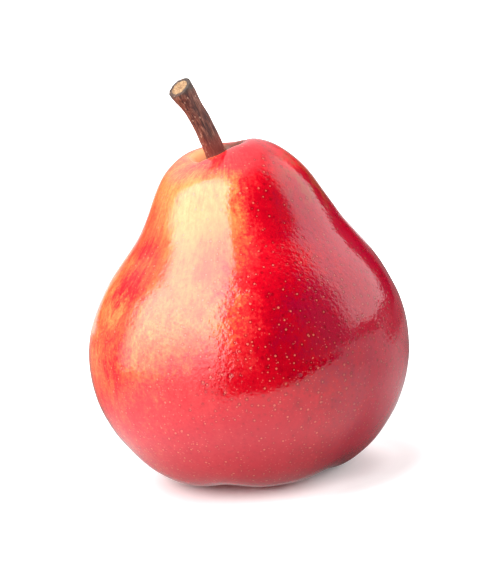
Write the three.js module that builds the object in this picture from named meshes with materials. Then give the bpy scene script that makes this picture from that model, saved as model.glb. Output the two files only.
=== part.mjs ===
// A ripe red pear that stands on the lobes of its blossom end, with its woody stalk.
// Millimetres, +Z up, front of the fruit towards -Y, origin under the middle of the whole part.
import * as THREE from 'three';

// Outline of the fruit from the floor of the blossom basin, out over the belly and up to the
// rim of the stalk hollow, then down to the floor of that hollow: [radius, height].
const FRUIT_OUTLINE = [
  [0, 4.6], [3.2, 4.5], [6.4, 3.6], [9.4, 1.7], [12.4, 0.4], [16.2, -0.22], [21.0, 0.7],
  [26.2, 3.9], [31.0, 8.9], [35.4, 15.9], [37.9, 23.8], [38.2, 31.8], [36.5, 39.8],
  [32.7, 47.8], [28.2, 53.8], [24.3, 58.8], [21.5, 63.8], [19.0, 68.8], [16.0, 73.2],
  [12.0, 76.4], [8.4, 77.7], [6.0, 77.4], [4.7, 75.6], [4.0, 73.7], [2.9, 72.1], [1.5, 71.4],
  [0, 71.3],
];
const FRUIT_RINGS = 54;
const FRUIT_TURNS = 52;

// The stalk hollow sits to the left of the axis and its rim slopes down to the left.
const HOLLOW_SHIFT = -2.8;
const HOLLOW_REACH = 19;
const HOLLOW_INNER = 6;
const RIM_SLOPE = 0.24;
const RIM_RISE_BACK = 0.06;
const RIM_TWIST = 0.02;

// The neck bends a little to the right, and the belly is not quite round.
const NECK_DRIFT = 0.8;
const NECK_DRIFT_HEIGHT = 57;
const NECK_DRIFT_SPREAD = 11;
const BELLY_OVAL = 0.012;

// Five lobes round the blossom end, and shallow furrows between them.
const LOBES = 5;
const FURROW_DEPTH = 1.15;
const FURROW_ANGLE = THREE.MathUtils.degToRad(-24 - 90);
const FURROW_RADIUS = 19;
const FURROW_SPREAD = 10;

// The stalk: its middle line, its radius along its length, and the slanted cut at the tip.
const STEM_LINE = [
  [-2.6, 0.0, 73.0], [-3.2, -0.2, 76.5], [-5.0, -0.9, 81.6],
  [-6.3, -1.4, 85.2], [-8.0, -2.0, 88.9], [-10.1, -2.9, 93.0],
];
const STEM_RADII = [2.25, 2.4, 2.15, 2.2, 2.3, 2.75];
const STEM_RINGS = 20;
const STEM_TURNS = 20;
const STEM_RIDGES = 7;
const STEM_RIDGE_HEIGHT = 0.1;
const CUT_SLANT = 0.3;

// Dried sepals and the dried tuft of stamens in the basin.
const SEPALS = 5;
const SEPAL_LENGTH = 5.4;
const SEPAL_WIDTH = 3.0;
const SEPAL_THICKNESS = 0.45;
const SEPAL_START = 2.3;
const SEPAL_TOP = 3.75;
const SEPAL_DROOP = 1.1;
const TUFT_OUTLINE = [[0, 4.15], [1.2, 4.05], [1.6, 3.5], [1.35, 2.7], [0.8, 2.2], [0, 2.0]];
const TUFT_TURNS = 15;

const skin = new THREE.MeshStandardMaterial({ color: 0xb51f24, roughness: 0.32, metalness: 0 });
const bark = new THREE.MeshStandardMaterial({ color: 0x5b3327, roughness: 0.85, metalness: 0 });
const husk = new THREE.MeshStandardMaterial({ color: 0x3a281c, roughness: 0.9, metalness: 0 });

const smooth = (value, low, high) => THREE.MathUtils.smoothstep(value, low, high);

function moveVertices(geometry, move) {
  const position = geometry.attributes.position;
  const point = new THREE.Vector3();
  for (let i = 0; i < position.count; i += 1) {
    point.fromBufferAttribute(position, i);
    move(point);
    position.setXYZ(i, point.x, point.y, point.z);
  }
  geometry.computeVertexNormals();
  return geometry;
}

function turned(outline, rings, turns) {
  const curve = new THREE.SplineCurve(outline.map(([r, z]) => new THREE.Vector2(r, z)));
  const points = curve.getPoints(rings).map((p) => new THREE.Vector2(Math.max(p.x, 0), p.y));
  return new THREE.LatheGeometry(points, turns).rotateX(Math.PI / 2);
}

function growFruit(point) {
  const { x, y, z } = point;
  const radius = Math.hypot(x, y);
  const angle = Math.atan2(y, x);

  const oval = 1 + BELLY_OVAL * Math.sin(2 * angle) * smooth(radius, 4, 30);
  point.x *= oval;
  point.y *= oval;

  const upper = z > NECK_DRIFT_HEIGHT - 20;
  const hollow = upper ? 1 - smooth(radius, HOLLOW_INNER, HOLLOW_REACH) : 0;
  const neck = Math.exp(-(((z - NECK_DRIFT_HEIGHT) / NECK_DRIFT_SPREAD) ** 2));
  point.x += HOLLOW_SHIFT * hollow + NECK_DRIFT * neck;
  point.z += (RIM_SLOPE * x + RIM_RISE_BACK * y - RIM_TWIST * x * y) * hollow;

  const ring = Math.exp(-(((radius - FURROW_RADIUS) / FURROW_SPREAD) ** 2));
  const furrow = (0.5 + 0.5 * Math.cos(LOBES * (angle - FURROW_ANGLE))) ** 2;
  const low = 1 - smooth(z, 4, 26);
  point.z = Math.max(point.z + FURROW_DEPTH * ring * furrow * low, 0);
}

function makeFruit() {
  const geometry = turned(FRUIT_OUTLINE, FRUIT_RINGS, FRUIT_TURNS);
  return new THREE.Mesh(moveVertices(geometry, growFruit), skin);
}

function makeStem() {
  const line = new THREE.CatmullRomCurve3(STEM_LINE.map((p) => new THREE.Vector3(...p)));
  const radii = new THREE.SplineCurve(STEM_RADII.map((r, i) => new THREE.Vector2(i, r)));
  const rod = [new THREE.Vector2(0, 0)];
  for (let i = 0; i <= STEM_RINGS; i += 1) {
    const t = i / STEM_RINGS;
    rod.push(new THREE.Vector2(radii.getPoint(t).y, t));
  }
  rod.push(new THREE.Vector2(0, 1));

  const geometry = new THREE.LatheGeometry(rod, STEM_TURNS).rotateX(Math.PI / 2);
  const up = new THREE.Vector3(0, 0, 1);
  moveVertices(geometry, (point) => {
    const t = THREE.MathUtils.clamp(point.z, 0, 1);
    const angle = Math.atan2(point.y, point.x);
    const radius = Math.hypot(point.x, point.y);
    const ridge = radius > 1 ? STEM_RIDGE_HEIGHT * Math.cos(STEM_RIDGES * angle + 2 * t) : 0;
    const slant = CUT_SLANT * point.y * smooth(t, 0.7, 1);
    const tangent = line.getTangent(t);
    const turn = new THREE.Quaternion().setFromUnitVectors(up, tangent);
    const side = new THREE.Vector3(Math.cos(angle), Math.sin(angle), 0).applyQuaternion(turn);
    point.copy(line.getPoint(t));
    point.addScaledVector(side, radius + ridge);
    point.addScaledVector(tangent, slant);
  });
  return new THREE.Mesh(geometry, bark);
}

function makeSepal(index) {
  const half = SEPAL_WIDTH / 2;
  const leaf = new THREE.Shape();
  leaf.moveTo(0, -0.3 * SEPAL_WIDTH);
  leaf.quadraticCurveTo(0.45 * SEPAL_LENGTH, -1.25 * half, SEPAL_LENGTH, 0);
  leaf.quadraticCurveTo(0.45 * SEPAL_LENGTH, 1.25 * half, 0, 0.3 * SEPAL_WIDTH);
  leaf.closePath();
  const geometry = new THREE.ExtrudeGeometry(leaf, {
    depth: SEPAL_THICKNESS,
    bevelEnabled: false,
    curveSegments: 8,
  });
  moveVertices(geometry, (point) => {
    const along = point.x / SEPAL_LENGTH;
    const across = point.y / half;
    point.x += SEPAL_START;
    point.z += SEPAL_TOP - SEPAL_THICKNESS - SEPAL_DROOP * along ** 1.6 - 0.25 * across ** 2;
  });
  geometry.rotateZ(FURROW_ANGLE + ((index + 0.5) * 2 * Math.PI) / SEPALS);
  return new THREE.Mesh(geometry, husk);
}

function makeTuft() {
  const outline = [...TUFT_OUTLINE].reverse();
  return new THREE.Mesh(turned(outline, 12, TUFT_TURNS), husk);
}

function named(mesh, name) {
  mesh.name = name;
  mesh.material = mesh.material.clone();
  return mesh;
}

const part = new THREE.Group();
part.name = 'pear';
part.add(named(makeFruit(), 'fruit'));
part.add(named(makeStem(), 'stem'));
part.add(named(makeTuft(), 'stamen_tuft'));
for (let i = 0; i < SEPALS; i += 1) {
  part.add(named(makeSepal(i), `sepal_${i + 1}`));
}

// Centre the part over the origin; it already stands on z = 0.
const middle = new THREE.Box3().setFromObject(part).getCenter(new THREE.Vector3());
for (const mesh of part.children) {
  mesh.geometry.translate(-middle.x, -middle.y, 0);
}

export default part;
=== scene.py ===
# %% [markdown]
# # A ripe red pear
# A fresh pear stands on the lobes of its blossom end. Its waxy skin is red over a yellow
# ground, and a woody stalk leans out of a small slanted hollow. The sizes come from the
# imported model, which is loaded first. Then each piece gets its fine shape and its finish.

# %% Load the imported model
import math
import random

import bmesh
import bpy
from mathutils import Matrix, Quaternion, Vector, noise


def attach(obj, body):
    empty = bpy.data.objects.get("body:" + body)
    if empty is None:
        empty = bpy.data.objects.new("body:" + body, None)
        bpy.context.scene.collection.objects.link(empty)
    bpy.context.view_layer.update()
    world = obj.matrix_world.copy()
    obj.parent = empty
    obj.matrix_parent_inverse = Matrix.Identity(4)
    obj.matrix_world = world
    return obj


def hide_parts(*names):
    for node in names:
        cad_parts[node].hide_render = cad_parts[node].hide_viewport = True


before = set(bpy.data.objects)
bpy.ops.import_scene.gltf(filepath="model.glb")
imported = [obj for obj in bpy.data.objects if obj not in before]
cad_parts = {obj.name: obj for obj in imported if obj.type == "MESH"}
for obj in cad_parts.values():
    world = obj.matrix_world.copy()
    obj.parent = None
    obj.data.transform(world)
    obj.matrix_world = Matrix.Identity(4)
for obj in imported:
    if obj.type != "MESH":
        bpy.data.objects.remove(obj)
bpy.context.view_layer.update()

print("packed nodes:", sorted(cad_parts))

MM = 0.001
random.seed(4)


# %% [markdown]
# ## Writing shader maths as Python
# A material is a tree of nodes. Written node by node it is long and hard to read, so a
# small class wraps one socket and turns Python's operators into Math nodes. Every other
# node comes from one method, which sets the node's own settings first and then its sockets.

# %% Sockets with operators
class Wire:
    def __init__(self, tree, socket):
        self.tree = tree
        self.socket = socket

    def math(self, operation, *others):
        return self.tree.add("ShaderNodeMath", [self, *others], operation=operation)

    def __add__(self, other):
        return self.math("ADD", other)

    def __sub__(self, other):
        return self.math("SUBTRACT", other)

    def __mul__(self, other):
        return self.math("MULTIPLY", other)

    def __truediv__(self, other):
        return self.math("DIVIDE", other)

    def __pow__(self, other):
        return self.math("POWER", other)

    def __rsub__(self, other):
        return self.tree.add("ShaderNodeMath", [other, self], operation="SUBTRACT")

    __radd__ = __add__
    __rmul__ = __mul__

    def ramp(self, low, high):
        """0 below low, 1 above high and a smooth rise between; high may be the lower one."""
        limits = [self, low, high, 0.0, 1.0]
        if high < low:
            limits = [self, high, low, 1.0, 0.0]
        return self.tree.add("ShaderNodeMapRange", limits, interpolation_type="SMOOTHSTEP")

    def out(self, name):
        """Another output of the same node."""
        return Wire(self.tree, self.socket.node.outputs[name])


print("operators ready:", "+ - * / ** ramp")


# %% [markdown]
# ## Trees that add nodes
# A material, or the room's light, owns a node tree. This class empties it and adds nodes
# to it: the place on the piece in millimetres, a noise, a cell pattern, a mix of two
# colours, a bump, and the surface itself.

# %% A tree of nodes
class Tree:
    def __init__(self, owner):
        owner.use_nodes = True
        self.nodes = owner.node_tree.nodes
        self.links = owner.node_tree.links
        self.nodes.clear()

    def add(self, kind, sockets=(), output=0, stops=None, **settings):
        node = self.nodes.new(kind)
        for name, value in settings.items():
            setattr(node, name, value)
        if stops:
            elements = node.color_ramp.elements
            while len(elements) < len(stops):
                elements.new(0.5)
            for element, (place, colour) in zip(elements, stops):
                element.position = place
                element.color = colour
        pairs = sockets.items() if isinstance(sockets, dict) else enumerate(sockets)
        for name, value in pairs:
            if isinstance(value, Wire):
                self.links.new(value.socket, node.inputs[name])
            else:
                node.inputs[name].default_value = value
        return Wire(self, node.outputs[output] if node.outputs else None)

    def place(self):
        """The point on the piece, in millimetres, along the frame's own axes."""
        place = self.add("ShaderNodeTexCoord", output="Object")
        return self.add("ShaderNodeVectorMath", {0: place, 3: 1000.0}, operation="SCALE")

    def split(self, vector):
        x = self.add("ShaderNodeSeparateXYZ", [vector])
        return x, x.out("Y"), x.out("Z")

    def join(self, x, y, z):
        return self.add("ShaderNodeCombineXYZ", [x, y, z])

    def noise(self, vector, scale, detail=2.0, roughness=0.5, distortion=0.0):
        sockets = {"Vector": vector, "Scale": scale, "Detail": detail,
                   "Roughness": roughness, "Distortion": distortion}
        return self.add("ShaderNodeTexNoise", sockets)

    def cells(self, vector, scale):
        """How far the nearest of many scattered centres is; out("Color") is random per centre."""
        sockets = {"Vector": vector, "Scale": scale, "Randomness": 1.0}
        return self.add("ShaderNodeTexVoronoi", sockets, output="Distance", feature="F1")

    def ramp_colours(self, value, stops):
        return self.add("ShaderNodeValToRGB", [value], stops=stops)

    def mix(self, factor, first, second):
        sockets = {0: factor, 6: first, 7: second}
        return self.add("ShaderNodeMix", sockets, output=2, data_type="RGBA", blend_type="MIX")

    def bump(self, height, depth_mm, normal=None):
        sockets = {"Height": height, "Strength": 1.0, "Distance": depth_mm * MM}
        if normal:
            sockets["Normal"] = normal
        return self.add("ShaderNodeBump", sockets)

    def surface(self, sockets):
        shader = self.add("ShaderNodeBsdfPrincipled", sockets)
        self.add("ShaderNodeOutputMaterial", {"Surface": shader})
        print("the material has", len(self.nodes), "nodes")


def ink(red, green, blue):
    """A screen colour of 0 to 255 as the linear colour that nodes use."""
    linear = [((c / 255 + 0.055) / 1.055) ** 2.4 if c > 10 else c / 3295 for c in (red, green, blue)]
    return (*linear, 1.0)


def new_material(name):
    material = bpy.data.materials.new(name)
    return material, Tree(material)


print("a screen grey of 128 is", round(ink(128, 128, 128)[0], 3), "as a linear colour")


# %% [markdown]
# ## Smooth steps, and finished pieces
# The shapes below move the points of a mesh by formulas. The same smooth rise from 0 to 1
# fades each formula in and out, so that no step shows in the glossy skin. Every shape
# then becomes a piece in the same way: it rides on the fruit's body, it stands for the
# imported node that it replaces, and it has a slot for its material.

# %% A smooth rise, and turning a finished shape into a piece
def rise(value, low, high):
    share = min(max((value - low) / (high - low), 0.0), 1.0)
    return share * share * (3 - 2 * share)


def mesh_object(shape, name, materials=()):
    mesh = bpy.data.meshes.new(name)
    shape.to_mesh(mesh)
    shape.free()
    for material in materials:
        mesh.materials.append(material)
    thing = bpy.data.objects.new(name, mesh)
    bpy.context.scene.collection.objects.link(thing)
    return thing


def finish_piece(shape, name, materials, replaced):
    piece = mesh_object(shape, name, materials)
    for polygon in piece.data.polygons:
        polygon.use_smooth = True
    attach(piece, "root")
    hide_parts(*replaced)
    print(name, "has", len(piece.data.polygons), "faces")


print("a smooth rise is", rise(0.25, 0.0, 1.0), "at a quarter of its way")


# %% [markdown]
# ## The fruit
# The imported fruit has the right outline, but its facets would show in the gloss. A copy
# of it is merged, its triangles are paired into four-sided faces, and a subdivision
# surface rounds it.

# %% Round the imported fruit
SKIN_ROUNDS = 2

shape = bmesh.new()
shape.from_mesh(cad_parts["fruit"].data)
bmesh.ops.remove_doubles(shape, verts=shape.verts, dist=0.002 * MM)
bmesh.ops.join_triangles(shape, faces=shape.faces, angle_face_threshold=0.8,
                         angle_shape_threshold=0.9)
rough_fruit = mesh_object(shape, "rough_fruit")
rounding = rough_fruit.modifiers.new("rounding", "SUBSURF")
rounding.levels = SKIN_ROUNDS
rounding.render_levels = SKIN_ROUNDS
evaluated = rough_fruit.evaluated_get(bpy.context.evaluated_depsgraph_get())

fruit_shape = bmesh.new()
fruit_shape.from_mesh(evaluated.to_mesh())
bpy.data.objects.remove(rough_fruit)
fruit_shape.normal_update()
print("fruit points:", len(fruit_shape.verts))


# %% [markdown]
# ## Swells and folds
# Real skin is not a perfect surface: it swells and dips by a tenth of a millimetre or two,
# which makes the edges of the reflections waver. Noise moves the points by that much, and
# it fades out where the fruit rests. The wall of the stalk hollow has shallow folds.

# %% Let the skin waver
SWELLS = ((14.0, 0.20), (6.0, 0.07))
HOLLOW_X = -2.8
HOLLOW_FOLDS = 7
FOLD_DEPTH = 0.16
WIDE_FOLDS = 4
WIDE_FOLD_DEPTH = 0.1


def skin_shift(point):
    """How far, in mm, the skin stands out at this point, which is in mm too."""
    shift = sum(depth * noise.noise(point / size) for size, depth in SWELLS)
    around_hollow = math.hypot(point.x - HOLLOW_X, point.y)
    inside = rise(point.z, 70, 74) * (1 - rise(around_hollow, 5.0, 11.0))
    angle = math.atan2(point.y, point.x - HOLLOW_X)
    folds = FOLD_DEPTH * math.cos(HOLLOW_FOLDS * angle + 1.5)
    folds += WIDE_FOLD_DEPTH * math.cos(WIDE_FOLDS * angle)
    return (shift + folds * inside) * rise(point.z, 0.2, 4.0)


for vert in fruit_shape.verts:
    vert.co += vert.normal * (skin_shift(vert.co / MM) * MM)
print("highest point in mm:", round(max(v.co.z for v in fruit_shape.verts) / MM, 2))


# %% [markdown]
# ## Noises for the skin
# The red of the skin comes in fine streaks that run from stalk to blossom end. So their
# noise is stretched along the height, and it is read on a direction round the core, which
# has no seam. The 0.01 keeps that direction from dividing by zero on the axis. Rounder
# noises give patches, mottles and speckle. A place that is pushed about by the noises
# gives the patches of colour ragged edges.

# %% Skin noises
skin, tree = new_material("waxy_pear_skin")
place = tree.place()
x, y, z = tree.split(place)
core_reach = (x * x + y * y + 0.01) ** 0.5
side_x = x / core_reach
side_y = y / core_reach

streak_place = tree.join(side_x * 9.0, side_y * 9.0, z * 0.06)
streaks = tree.noise(streak_place, 1.6, detail=5.0, roughness=0.62)
fine_place = tree.join(side_x * 26.0, side_y * 26.0, z * 0.30)
fine_streaks = tree.noise(fine_place, 1.3, detail=4.0, roughness=0.65)
patches = tree.noise(place, 0.085, detail=5.0, roughness=0.6)
mottles = tree.noise(tree.join(x, y, z * 0.6), 0.33, detail=4.0, roughness=0.65)
speckle = tree.noise(place, 1.3, detail=2.0, roughness=0.6)

push = tree.join((patches - 0.5) * 16.0, (streaks - 0.5) * 8.0, (mottles - 0.5) * 14.0)
ragged = tree.add("ShaderNodeVectorMath", [place, push], operation="ADD")


def spot(centre, radius):
    """1 in the middle of a ragged round patch of skin and 0 past its radius."""
    reach = tree.add("ShaderNodeVectorMath", [ragged, centre], output="Value", operation="DISTANCE")
    return reach.ramp(radius, radius * 0.3)


print("nodes for the skin's noises:", len(tree.nodes))


# %% [markdown]
# ## How ripe each place is
# Ripeness is 0 for yellow and 1 for deep crimson. The side that hung in the sun, at the right, has
# turned red; further right it is deeper and darker, partly as painted shade. The shaded side stays
# yellow, apart from its low part and its top, and a few ragged patches of it are redder or yellower
# than the rest. All the noises then vary the result, and fine streaks count for more on the neck.

# %% Ripeness
SHADED_PATCHES = (
    # centre in mm, radius in mm, how much riper
    ((-24.0, -16.0, 52.0), 14.0, 0.16),
    ((-31.0, -20.0, 38.0), 12.0, 0.12),
    ((-20.0, -9.0, 61.0), 12.0, 0.12),
    ((-30.0, -17.0, 44.0), 6.0, -0.16),
    ((-28.0, -16.0, 50.0), 6.0, 0.12),
    ((-14.0, -36.0, 34.0), 10.0, 0.05),
    ((-4.0, -25.0, 56.0), 12.0, 0.09),
    ((-7.0, -19.0, 68.0), 14.0, -0.07),
    ((-16.0, -14.0, 64.0), 8.0, -0.03),
)

wander = ((patches - 0.5) * 0.33 + (streaks - 0.5) * 0.12 + (mottles - 0.5) * 0.34
          + (speckle - 0.5) * 0.26)
sun_side = (side_x + wander - z.ramp(52.0, 60.0) * 0.10).ramp(-0.20, 0.20)
# Deeper, darker crimson towards the right: partly the real blush, partly painted shade on the side
# turned from the key light.
deep_red_and_shaded_side = (side_x + wander).ramp(0.05, 0.75)
low_part = (z - side_x * 10.0 + (patches - 0.5) * 26.0).ramp(47.0, 29.0)
top_part = z.ramp(70.5, 77.0) * (side_x + wander).ramp(-1.6, 0.0)
shaded = 0.25 + z.ramp(66.0, 42.0) * 0.07 + low_part * (0.37 + side_x * 0.25) + top_part * 0.35
for centre, radius, riper in SHADED_PATCHES:
    shaded = shaded + spot(centre, radius) * riper

crest = spot((14.0, -5.0, 74.0), 7.0) * 0.22 + z.ramp(66.0, 77.0) * 0.11
crimson = spot((12.0, -34.0, 39.0), 18.0) * 0.14
sunned = 0.68 + deep_red_and_shaded_side * 0.29 - crest + crimson
neck = z.ramp(44.0, 58.0)
variation = ((streaks - 0.5) * 0.18 + (fine_streaks - 0.5) * (0.20 + neck * 0.26)
             + (mottles - 0.5) * (0.40 - neck * 0.16) + (patches - 0.5) * 0.24
             + (speckle - 0.5) * (0.38 - neck * 0.14))
calm = spot((-9.0, -26.0, 57.0), 26.0) * 0.45
ripeness = shaded * (1 - sun_side) + sun_side * sunned
ripeness = ripeness + variation * (1.0 - sun_side * 0.50 - low_part * 0.25 - calm)
print("patches on the shaded side:", len(SHADED_PATCHES))


# %% [markdown]
# ## Ripeness as colour
# One row of colours turns ripeness into paint, from yellow over orange and scarlet to crimson. Low
# down the red is pinker and duller, partly in its own colour and partly as a painted reflection of
# the white floor. The crest on the right is weathered.

# %% Skin colour
skin_colour = tree.ramp_colours(ripeness, [
    (0.00, ink(246, 182, 108)),
    (0.20, ink(243, 140, 78)),
    (0.38, ink(234, 92, 58)),
    (0.52, ink(219, 46, 48)),
    (0.70, ink(204, 6, 28)),
    (0.86, ink(176, 1, 24)),
    (1.00, ink(152, 2, 38)),
])
# Pinker and duller low down: partly the skin's own colour, partly a painted reflection of the white
# floor.
pinker_with_floor_reflection = z.ramp(30.0, 15.0) * (0.42 - deep_red_and_shaded_side * 0.25)
skin_colour = tree.mix(pinker_with_floor_reflection, skin_colour, ink(196, 42, 64))
weathered = spot((17.0, -4.0, 70.0), 15.0) * mottles.ramp(0.42, 0.58) * 0.6
skin_colour = tree.mix(weathered, skin_colour, ink(150, 74, 46))
print("nodes with the colour:", len(tree.nodes))


# %% [markdown]
# ## Pores
# Small pale pores, the lenticels, are dots where a cell pattern's centres meet the skin.
# A darker ring lies round each, and it is stronger where the fruit is riper. Smaller,
# fainter freckles come from a second, finer pattern, mostly low down.

# %% Pores and freckles
PORES_PER_MM = 0.66
FRECKLES_PER_MM = 1.05

pore_cells = tree.cells(place, PORES_PER_MM)
dot_size, dot_depth, _ = tree.split(pore_cells.out("Color"))
dot_reach = pore_cells - dot_size * 0.10
pore = dot_reach.ramp(0.14, 0.04)
halo = dot_reach.ramp(0.38, 0.10)
ring = halo * (0.35 + dot_depth * 0.45) * ripeness * (1 - z.ramp(30.0, 15.0) * 0.6)
skin_colour = tree.mix(ring, skin_colour, ink(116, 0, 12))
skin_colour = tree.mix(pore * (0.52 - deep_red_and_shaded_side * 0.36), skin_colour, ink(250, 134, 108))
freckle_cells = tree.cells(place, FRECKLES_PER_MM)
freckle = freckle_cells.ramp(0.22, 0.08) * (low_part * 0.26 + 0.05) * (1 - deep_red_and_shaded_side * 0.5)
skin_colour = tree.mix(freckle, skin_colour, ink(250, 140, 128))
print("nodes with the pores:", len(tree.nodes))


# %% [markdown]
# ## Stalk hollow and blossom basin
# The skin in both hollows is dull and brownish, which growers call russet. The wall of the stalk
# hollow is yellow on its left and dark brown on its right, where the dark brown is painted shade in
# the recess, and its floor is russet.

# %% Russet, and painted shade in the stalk hollow
hollow_reach = ((x - HOLLOW_X) * (x - HOLLOW_X) + y * y) ** 0.5
hollow_height = z.ramp(69.0, 70.0)
in_hollow = hollow_reach.ramp(8.5, 5.5) * hollow_height
basin_reach = (x * x + y * y) ** 0.5 + (mottles - 0.5) * 5.0
basin = basin_reach.ramp(8.0, 2.5) * z.ramp(9.0, 6.0)
russet = (hollow_reach + (mottles - 0.5) * 3.0).ramp(5.4, 3.0) * hollow_height
# The dark brown on the right of the hollow's wall is painted shade in the recess.
wall_colour_with_painted_shade = tree.mix(x.ramp(-5.0, 0.0), ink(234, 146, 84), ink(98, 60, 40))
skin_colour = tree.mix(basin * 0.75, skin_colour, ink(128, 78, 40))
skin_colour = tree.mix(in_hollow * 0.9, skin_colour, wall_colour_with_painted_shade)
skin_colour = tree.mix(russet * 0.7, skin_colour, ink(146, 84, 48))
print("nodes with the russet:", len(tree.nodes))


# %% [markdown]
# ## Gloss
# The wax is a smooth film, so the base layer itself is very glossy and needs no coat. A
# fine bump breaks the edges of the reflections. It is stronger in a few crinkled places,
# and the pores stand out in it a little.

# %% Wax and its fine bump
PEEL_DEPTH = 0.12
RIPPLE_DEPTH = 0.05
WAX_IOR = 1.6

wax_noise = tree.noise(place, 0.45, detail=3.0, roughness=0.6)
peel = tree.noise(place, 1.15, detail=2.0, roughness=0.55)
crinkled = (tree.noise(place, 0.11, detail=2.0).ramp(0.40, 0.65) * 0.45 + 0.26
            + spot((13.0, -29.0, 50.0), 18.0) * 0.65 + spot((-10.0, -36.0, 33.0), 17.0) * 0.7)
ripple = tree.noise(place, 0.28, detail=2.0, roughness=0.5)
fine_height = (peel + pore * 0.25 - halo * 0.2) * crinkled
tree.surface({
    "Base Color": skin_colour,
    "Roughness": 0.05 + wax_noise * 0.03 + in_hollow * 0.4 + basin * 0.35,
    "IOR": WAX_IOR,
    "Normal": tree.bump(fine_height, PEEL_DEPTH, tree.bump(ripple, RIPPLE_DEPTH)),
})
finish_piece(fruit_shape, "fruit_skin", [skin], ["fruit"])


# %% [markdown]
# ## The line and the thickness of the stalk
# A pear's stalk is a short woody twig: wrinkled bark along it, and thicker where it joined
# the branch. Its middle is one Bezier curve. Its radius comes from a formula with a swell
# at the foot, a flare at the tip, a knot between them and the wrinkles of the bark.

# %% Curve and radius
STEM_BASE = Vector((-2.45, 0.05, 71.6))
STEM_BEND_LOW = Vector((-3.3, -0.1, 78.6))
STEM_BEND_HIGH = Vector((-6.9, -1.6, 87.0))
STEM_TIP = Vector((-10.35, -2.9, 93.4))
STEM_RADIUS = 2.38
FOOT_SWELL = 0.18
TIP_FLARE = 0.66
KNOT = 0.10


def stem_point(t):
    a = STEM_BASE.lerp(STEM_BEND_LOW, t)
    b = STEM_BEND_LOW.lerp(STEM_BEND_HIGH, t)
    c = STEM_BEND_HIGH.lerp(STEM_TIP, t)
    return a.lerp(b, t).lerp(b.lerp(c, t), t)


def stem_direction(t):
    return (stem_point(min(t + 0.01, 1.0)) - stem_point(max(t - 0.01, 0.0))).normalized()


def bell(t, middle, width):
    return math.exp(-((t - middle) / width) ** 2)


def stem_radius(t, angle):
    radius = STEM_RADIUS + FOOT_SWELL * bell(t, 0.12, 0.16)
    radius += TIP_FLARE * rise(t, 0.70, 1.0) + KNOT * bell(t, 0.62, 0.10) * math.cos(angle)
    around = Vector((math.cos(angle), math.sin(angle), 0))
    wide = noise.noise(around * 1.6 + Vector((0, 0, 2.6 * t + 3)))
    ridge = noise.noise(around * 4.2 + Vector((3, 0, 3.2 * t)))
    wrinkle = noise.noise(around * 9.0 + Vector((0, 7, 9.0 * t)))
    ragged_tip = noise.noise(around * 5.0 + Vector((9, 1, 14.0 * t))) * rise(t, 0.9, 1.0)
    return radius + 0.16 * wide - 0.20 * abs(ridge) - 0.09 * abs(wrinkle) + 0.22 * ragged_tip


print("stalk from end to end in mm:", round((STEM_TIP - STEM_BASE).length, 1))


# %% [markdown]
# ## The stalk's body
# The stalk starts as a straight cylinder that is cut into many rings. Its end cap is inset
# again and again, so that the wood of the cut has points to move. The rim of bark is
# rounded off, the wood is sunken, and the whole cut slants.

# %% Build, wrinkle and bend the stalk
STEM_TURNS = 96
STEM_STEPS = 110
RIM_WIDTH = 0.30
WOOD_RINGS = 7
CUT_SLANT = 0.27
CUT_TURN = 0.25
WOOD_DEPTH = 0.42
PITH_RISE = 0.12
RIM_ROUNDING = 0.32

shape = bmesh.new()
bmesh.ops.create_cone(shape, cap_ends=True, segments=STEM_TURNS, radius1=1, radius2=1, depth=1,
                      matrix=Matrix.Translation((0, 0, 0.5)))
sides = [e for e in shape.edges if abs(e.verts[0].co.z - e.verts[1].co.z) > 0.5]
bmesh.ops.subdivide_edges(shape, edges=sides, cuts=STEM_STEPS, use_grid_fill=True)
shape.faces.ensure_lookup_table()
cap = max(shape.faces, key=lambda f: f.calc_center_median().z)
wood_faces = []
bmesh.ops.inset_region(shape, faces=[cap], thickness=RIM_WIDTH, depth=0.0, use_even_offset=True)
for ring in range(WOOD_RINGS):
    made = bmesh.ops.inset_region(shape, faces=[cap], thickness=0.10, use_even_offset=True)
    wood_faces += made["faces"]
wood_faces.append(cap)
for face in wood_faces:
    face.material_index = 1


def cut_height(share, side, x, y):
    """How far the cut face stands out at this share of the radius, before its slant."""
    height = 0.30 * noise.noise(side * 2.5 + Vector((0, 4, 1))) * rise(share, 0.6, 1.0)
    height -= WOOD_DEPTH * (1 - rise(share, 0.62, 0.76)) - PITH_RISE * (1 - rise(share, 0.0, 0.75))
    height += 0.07 * noise.noise(Vector((x * 5, y * 5, 2)))
    return height - RIM_ROUNDING * rise(share, 0.84, 1.0)


for vert in shape.verts:
    t = min(max(vert.co.z, 0.0), 1.0)
    angle = math.atan2(vert.co.y, vert.co.x)
    share = min(math.hypot(vert.co.x, vert.co.y), 1.0)
    side = Vector((math.cos(angle), math.sin(angle), 0))
    reach = stem_radius(t, angle) * share
    along = CUT_SLANT * math.sin(angle + CUT_TURN) * reach * rise(t, 0.7, 1.0)
    if t > 0.999:
        along += cut_height(share, side, vert.co.x, vert.co.y)
    direction = stem_direction(t)
    turn = Vector((0, 0, 1)).rotation_difference(direction)
    vert.co = (stem_point(t) + turn @ (side * reach) + direction * along) * MM
bmesh.ops.recalc_face_normals(shape, faces=shape.faces)
stem_shape = shape
print("stalk points:", len(stem_shape.verts))


# %% [markdown]
# ## Bark
# The bark is reddish brown with dark furrows that run along the stalk, a few pale specks and a grey
# rim round the cut. Its near-black furrows and pale ridges follow the bump, so they are partly the
# bark's own colour and partly painted shade and painted highlights. Mapping turns the pattern's axis
# to the stalk's lean, and stretched noise makes the furrows. It is greyer on the right, partly as a
# painted grey sheen, warmer on the left, and redder near the fruit.

# %% Bark colours
def along_stem(tree):
    """The place in mm from the stalk's tip, with its Z along the line from foot to tip."""
    lean = (STEM_TIP - STEM_BASE).normalized()
    turn = lean.rotation_difference(Vector((0, 0, 1))).to_euler()
    shift = turn.to_matrix() @ -STEM_TIP
    sockets = {"Vector": tree.place(), "Location": shift, "Rotation": turn}
    return tree.add("ShaderNodeMapping", sockets, vector_type="POINT")


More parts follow.
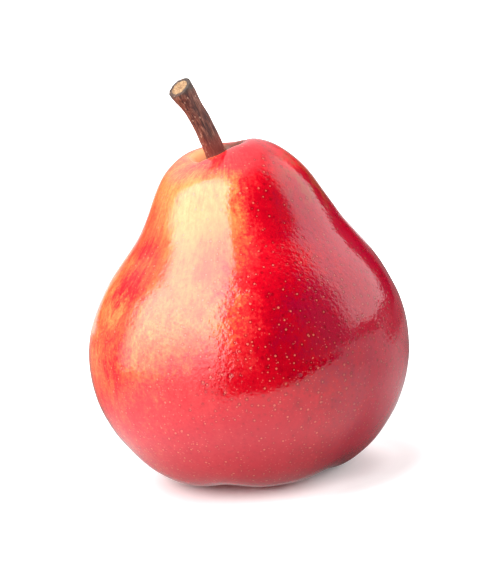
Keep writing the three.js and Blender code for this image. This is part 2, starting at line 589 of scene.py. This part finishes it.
bark, tree = new_material("wrinkled_bark")
place = along_stem(tree)
x, y, z = tree.split(place)
fibres = tree.noise(tree.join(x, y, z * 0.17), 1.7, detail=6.0, roughness=0.68, distortion=0.4)
hairs = tree.noise(tree.join(x, y, z * 0.13), 5.0, detail=3.0, roughness=0.6)
blotches = tree.noise(place, 0.35, detail=4.0, roughness=0.6)
# Near-black in the furrows and pale tan on the ridges, which follow the bump: partly the bark's
# colour, partly painted shade and painted highlights.
bark_colour = tree.ramp_colours(fibres * 0.62 + hairs * 0.38, [
    (0.38, ink(26, 9, 8)),
    (0.46, ink(80, 34, 28)),
    (0.54, ink(136, 72, 55)),
    (0.66, ink(204, 152, 126)),
])
# Greyer on the right: partly the bark's tint, partly a painted grey sheen.
grey_side_and_sheen = (x + (blotches - 0.5) * 4.0).ramp(-0.4, 1.6)
bark_colour = tree.mix(grey_side_and_sheen * 0.35, bark_colour, ink(104, 84, 80))
warm_side = (x + (blotches - 0.5) * 3.0).ramp(-0.2, -1.9)
bark_colour = tree.mix(warm_side * 0.40, bark_colour, ink(158, 88, 54))
low_end = (z + (blotches - 0.5) * 5.0).ramp(-12.0, -17.0)
bark_colour = tree.mix(low_end * 0.60, bark_colour, ink(158, 60, 50))
grey_rim = (z + (blotches - 0.5) * 2.5).ramp(-2.4, -0.8)
bark_colour = tree.mix(grey_rim * 0.75, bark_colour, ink(82, 76, 70))
speck = tree.cells(tree.join(x, y, z * 0.6), 0.9).ramp(0.19, 0.10)
bark_colour = tree.mix(speck * 0.7, bark_colour, ink(214, 168, 140))
tree.surface({
    "Base Color": bark_colour,
    "Roughness": 0.45 + blotches * 0.25,
    "Specular IOR Level": 0.45,
    "Normal": tree.bump(fibres * 0.6 + hairs * 0.4 + speck * 0.15, 0.9),
})


# %% [markdown]
# ## Cut wood
# The cut shows dry, pale wood with a darker pith in its middle. Grain comes from one noise,
# which also roughens the face.

# %% Wood colours
cut_wood, tree = new_material("cut_wood")
place = along_stem(tree)
x, y, z = tree.split(place)
middle = (x * x + y * y) ** 0.5
grain = tree.noise(place, 2.2, detail=5.0, roughness=0.65)
wood_colour = tree.ramp_colours(grain, [
    (0.30, ink(104, 74, 50)),
    (0.50, ink(160, 124, 88)),
    (0.68, ink(196, 164, 126)),
])
pith = (middle + (grain - 0.5) * 1.2).ramp(0.75, 0.35)
wood_colour = tree.mix(pith * 0.55, wood_colour, ink(120, 82, 54))
tree.surface({
    "Base Color": wood_colour,
    "Roughness": 0.8,
    "Normal": tree.bump(grain, 0.15),
})
finish_piece(stem_shape, "stalk", [bark, cut_wood], ["stem"])


# %% [markdown]
# ## The dried flower underneath
# The blossom end keeps what is left of the flower: dry sepals that curl outwards and a
# tuft of dry stamens between them. Nothing of it shows from the front, but the fruit may
# be lifted. All of it has one dull brown finish.

# %% Husk colours
husk, tree = new_material("dry_husk")
grain = tree.noise(tree.place(), 2.4, detail=5.0, roughness=0.7)
husk_colour = tree.ramp_colours(grain, [
    (0.32, ink(30, 19, 13)),
    (0.47, ink(84, 56, 36)),
    (0.62, ink(150, 112, 76)),
])
tree.surface({
    "Base Color": husk_colour,
    "Roughness": 0.78 + grain * 0.15,
    "Normal": tree.bump(grain, 0.2),
})


# %% [markdown]
# ## Sepals
# A sepal is a small pointed leaf. Each one is a grid that is narrowed to a point, folded
# like a gutter, crumpled, curled and given a thickness. No two are quite alike.

# %% Five sepals
SEPALS = 5
SEPAL_LENGTH = 6.3
SEPAL_HALF_WIDTH = 1.45
SEPAL_THICKNESS = 0.28
SEPAL_START = 1.2
SEPAL_TOP = 3.7
FIRST_SEPAL = math.radians(-78)

for index in range(SEPALS):
    curl = random.uniform(0.75, 1.2)
    lean = random.uniform(-0.7, 0.7)
    length = SEPAL_LENGTH * random.uniform(0.78, 1.0)
    shape = bmesh.new()
    bmesh.ops.create_grid(shape, x_segments=34, y_segments=14, size=1)
    for vert in shape.verts:
        along = (vert.co.x + 1) / 2
        across = vert.co.y
        width = (0.5 + 0.5 * rise(along, 0.0, 0.3)) * (1 - 0.94 * along ** 1.5)
        width *= 1 + 0.30 * noise.noise(Vector((along * 5, 2 * across, index * 2.0)))
        crumple = 0.42 * noise.noise(Vector((along * 3.5, across * 1.6, index * 5.0)))
        crumple += 0.16 * noise.noise(Vector((along * 10, across * 4, index * 7.0)))
        gutter = 0.75 * (across * width) ** 2 * (1 + along)
        vert.co.x = SEPAL_START + length * (along - 0.10 * along ** 4)
        vert.co.y = across * width * SEPAL_HALF_WIDTH * (1 - 0.25 * along) + lean * along ** 2
        vert.co.z = SEPAL_TOP - 1.7 * curl * along ** 1.5 - gutter + crumple * rise(along, 0.0, 0.2)
        vert.co.z += 0.5 * rise(along, 0.75, 1.0) * curl
    bmesh.ops.solidify(shape, geom=shape.faces, thickness=SEPAL_THICKNESS)
    bmesh.ops.recalc_face_normals(shape, faces=shape.faces)
    turn = Matrix.Rotation(FIRST_SEPAL + index * math.tau / SEPALS, 4, "Z")
    bmesh.ops.transform(shape, matrix=Matrix.Scale(MM, 4) @ turn, verts=shape.verts)
    finish_piece(shape, f"dry_sepal_{index + 1}", [husk], [f"sepal_{index + 1}"])


# %% [markdown]
# ## Stamens
# The dried stamens are short threads with small knobs, and they hang from a shallow cup.
# Each one leans its own way. Every second one stands nearer to the middle.

# %% A tuft of threads
STAMENS = 14
CUP_TOP = 3.75
THREAD_TOP = 3.6
THREAD_LENGTH = 1.2
OUTER_FOOT = 0.95
INNER_FOOT = 0.5

shape = bmesh.new()
cup = Matrix.Translation((0, 0, CUP_TOP)) @ Matrix.Diagonal((1.5, 1.5, 0.42, 1))
bmesh.ops.create_uvsphere(shape, u_segments=24, v_segments=12, radius=1, matrix=cup)
for index in range(STAMENS):
    angle = index * math.tau / STAMENS + random.uniform(-0.15, 0.15)
    tilt = random.uniform(0.1, 0.5)
    foot = OUTER_FOOT if index % 2 else INNER_FOOT
    turn = Matrix.Rotation(angle, 4, "Z") @ Matrix.Translation((foot, 0, THREAD_TOP))
    turn = turn @ Matrix.Rotation(math.pi - tilt, 4, "Y")
    thread = turn @ Matrix.Translation((0, 0, THREAD_LENGTH / 2))
    bmesh.ops.create_cone(shape, cap_ends=True, segments=8, radius1=0.11, radius2=0.06,
                          depth=THREAD_LENGTH, matrix=thread)
    knob = turn @ Matrix.Translation((0, 0, THREAD_LENGTH)) @ Matrix.Diagonal((0.13, 0.1, 0.19, 1))
    bmesh.ops.create_uvsphere(shape, u_segments=8, v_segments=6, radius=1, matrix=knob)
bmesh.ops.transform(shape, matrix=Matrix.Scale(MM, 4), verts=shape.verts)
finish_piece(shape, "dry_stamens", [husk], ["stamen_tuft"])


# %% [markdown]
# ## The floor's paint
# The pear stands on a white sheet that is lit so strongly that it turns pure white. The
# sheet glows a little to get there. The paint and the glow change with the place, so part
# of the soft shade round the foot and to the right is painted and not cast. What the
# glossy skin reflects of the floor is set apart from what the camera sees of it. It has
# darker zones in front, at both sides and behind, as if dark things stood round the sheet,
# and a bright strip straight behind.

# %% Floor paint
floor_paint, tree = new_material("white_floor")
x, y, z = tree.split(tree.place())
away = (x * x + y * y) ** 0.5
seen = tree.add("ShaderNodeLightPath", output="Is Camera Ray")
mirrored = seen.out("Is Glossy Ray")
to_right = (x + y * 0.2).ramp(-1.0, 16.0)
long_shade = away.ramp(27.0, 36.0) * away.ramp(62.0, 42.0) * to_right
paper = 0.55 + seen * (0.35 - long_shade * 0.11) - mirrored * 0.55

front_shade = (y + x * 0.25).ramp(-103.0, -118.0) * (x - y * 0.36).ramp(-25.0, 25.0)
right_far_front = x.ramp(60.0, 200.0) * y.ramp(260.0, 110.0)
behind = (y - x * 0.35).ramp(-20.0, 90.0) * (1 - right_far_front * 0.5)
off_line = x.math("ABSOLUTE") * 1.4
right_of_line = x.math("MAXIMUM", 0.0) * 2.2
straight_back = (y - off_line - right_of_line).ramp(50.0, 190.0)
left_far = (-1.0 * x).ramp(150.0, 420.0)
sides = 1 - left_far * 0.45 - x.ramp(40.0, 220.0) * 0.3
mirror_image = (1.25 - behind) * (1 - front_shade) * sides

side_shade = x.ramp(4.0, 22.0) * y.ramp(-34.0, -12.0)
open_side = 0.50 + away.ramp(22.0, 44.0) * 0.50
shaded_side = 0.07 + away.ramp(14.0, 74.0) * (0.65 + away.ramp(90.0, 200.0) * 0.28)
near_shade = open_side * (1 - side_shade) + side_shade * shaded_side
mirror_image = mirror_image * near_shade + straight_back

from_foot = ((x + 3.0) * (x + 3.0) + (y + 20.0) * (y + 20.0)) ** 0.5
left_glow = from_foot.ramp(6.0, 42.0) * 0.43
foot_ring = away.ramp(10.0, 24.0) * away.ramp(38.0, 29.0)
right_glow = foot_ring * 0.25 + away.ramp(60.0, 200.0) * 0.43
near_foot = left_glow * (1 - to_right) + to_right * right_glow
glow = seen * (near_foot + away.ramp(60.0, 500.0) * 0.6) + mirrored * mirror_image
# Near the foot, the floor that the skin reflects is tinted red: painted red light bounced from the
# fruit.
glow_with_red_bounce = glow * (1 - mirrored * away.ramp(46.0, 26.0) * 0.3)
tree.surface({
    "Base Color": tree.join(paper, paper, paper),
    "Roughness": 0.9,
    "Specular IOR Level": 0.0,
    "Emission Color": tree.join(glow, glow_with_red_bounce, glow_with_red_bounce),
    "Emission Strength": 1.0,
})


# %% [markdown]
# ## The floor's sheet
# One flat face is enough, because the paint does the rest. The floor isn't part of the object.

# %% Floor sheet
FLOOR_HALF_SIZE = 6

shape = bmesh.new()
bmesh.ops.create_grid(shape, x_segments=1, y_segments=1, size=FLOOR_HALF_SIZE)
floor = mesh_object(shape, "floor", [floor_paint])
print("the floor is", 2 * FLOOR_HALF_SIZE, "m wide")


# %% [markdown]
# ## Soft boxes
# A tall soft box on the left makes the long pale reflection, and a weaker one on the right
# makes the pinkish one. Both glow less towards the top and towards one side edge, and the
# left one also towards its bottom, so that its reflection has soft ends. The camera doesn't
# see them.

# %% Two soft boxes
def soft_box(name, azimuth, distance, bottom, top, width, radiance, dim_below, fade):
    """A vertical soft box that faces the pear; azimuth 0 is the front, + is to the right."""
    paint, tree = new_material(name)
    turned = Matrix.Rotation(math.radians(azimuth), 4, "Z")
    straight = tree.add("ShaderNodeMapping", {"Vector": tree.place(),
                        "Rotation": (0, 0, -math.radians(azimuth))}, vector_type="POINT")
    across, _, up = tree.split(straight)
    half = width * 500
    left_fade = across.ramp(-half, -half + fade * 1000)
    right_fade = across.ramp(half, half - 10)
    bright = (1 - dim_below) * up.ramp(bottom * 1000, 420.0) + dim_below
    bright = bright * (1 - up.ramp(top * 450, top * 1000) * 0.65)
    light = tree.add("ShaderNodeEmission",
                     {"Color": (1, 1, 1, 1), "Strength": bright * left_fade * right_fade * radiance})
    tree.add("ShaderNodeOutputMaterial", {"Surface": light})
    shape = bmesh.new()
    bmesh.ops.create_grid(shape, x_segments=1, y_segments=1, size=0.5)
    stretch = Matrix.Diagonal((width, top - bottom, 1, 1))
    upright = Matrix.Rotation(math.radians(90), 4, "X")
    lift = Matrix.Translation((0, -distance, (top + bottom) / 2))
    bmesh.ops.transform(shape, matrix=turned @ lift @ upright @ stretch, verts=shape.verts)
    box = mesh_object(shape, name, [paint])
    box.visible_camera = False
    print(name, "is", width, "m wide and", top, "m high")


soft_box("left_soft_box", -61, 0.42, 0.004, 1.9, 0.90, 5.3, 0.40, 0.24)
soft_box("right_soft_box", 101, 0.90, 0.18, 1.8, 1.06, 1.8, 1.0, 0.35)


# %% [markdown]
# ## Fill lights
# Two area lights brighten the shade. A real studio's walls would do it. They leave no
# reflection in the skin, because walls would leave none with a clear edge.

# %% Two lights that fill the shade and leave no reflection
def fill_light(name, place, size, power):
    data = bpy.data.lights.new(name, "AREA")
    data.size = size
    data.energy = power
    lamp = bpy.data.objects.new(name, data)
    bpy.context.scene.collection.objects.link(lamp)
    lamp.location = place
    lamp.rotation_euler = (-lamp.location).to_track_quat("-Z", "Y").to_euler()
    lamp.visible_camera = False
    lamp.visible_glossy = False
    print(name, "has a power of", power)


fill_light("top_fill", (0.15, 0.30, 0.78), 0.6, 6.5)
fill_light("right_fill", (0.77, 0.07, 0.20), 0.5, 3.7)


# %% [markdown]
# ## The room
# The room's light depends on its direction: a bright wall straight behind the pear, a
# bright ceiling, paler sides, and a dark part behind the camera, so that the middle of the
# fruit keeps its deep red. The camera itself sees plain white.

# %% Room light
world = bpy.data.worlds.new("studio")
bpy.context.scene.world = world
tree = Tree(world)
direction = tree.add("ShaderNodeTexCoord", output="Generated")
side, depth, height = tree.split(direction)
back_wall = depth.ramp(0.90, 0.99) * (1 - side.ramp(0.05, 0.30) * 0.6) * 0.8
ceiling = (height + depth * 0.6).ramp(0.72, 1.05) * 1.05
left_wall = (-1.0 * side).ramp(0.45, 0.95) * depth.ramp(-0.1, 0.35) * 0.18
right_wall = side.ramp(0.5, 0.95) * 0.2
sweep = side.ramp(0.75, 0.95) * height.ramp(0.070, 0.035) * 0.6
room = back_wall + ceiling + left_wall + right_wall + sweep + 0.012
seen = tree.add("ShaderNodeLightPath", output="Is Camera Ray")
strength = room * (1 - seen) + seen
background = tree.add("ShaderNodeBackground", {"Color": (1, 1, 1, 1), "Strength": strength})
tree.add("ShaderNodeOutputWorld", {"Surface": background})
bpy.context.scene.view_settings.view_transform = "Standard"
print("the room's light has", len(tree.nodes), "nodes")


# %% [markdown]
# ## Camera
# The camera is long, about 0.6 m away, looks down by ten degrees and is rolled a little.
# Its lens follows from the height that it shows at the pear.

# %% Camera
DISTANCE = 0.600
ELEVATION = math.radians(10)
ROLL = math.radians(-5.5)
AIM = Vector((0.0015, 0, 0.0434))
SHOWN_HEIGHT = 0.1378

camera_data = bpy.data.cameras.new("camera")
camera_data.lens = camera_data.sensor_width * DISTANCE / SHOWN_HEIGHT
camera_data.clip_start = 0.01
camera = bpy.data.objects.new("camera", camera_data)
bpy.context.scene.collection.objects.link(camera)
to_camera = Vector((0, -math.cos(ELEVATION), math.sin(ELEVATION)))
camera.location = AIM + to_camera * DISTANCE
level_view = (-to_camera).to_track_quat("-Z", "Y")
camera.rotation_euler = (level_view @ Quaternion((0, 0, 1), ROLL)).to_euler()
bpy.context.scene.camera = camera
print("lens in mm:", round(camera_data.lens, 1))
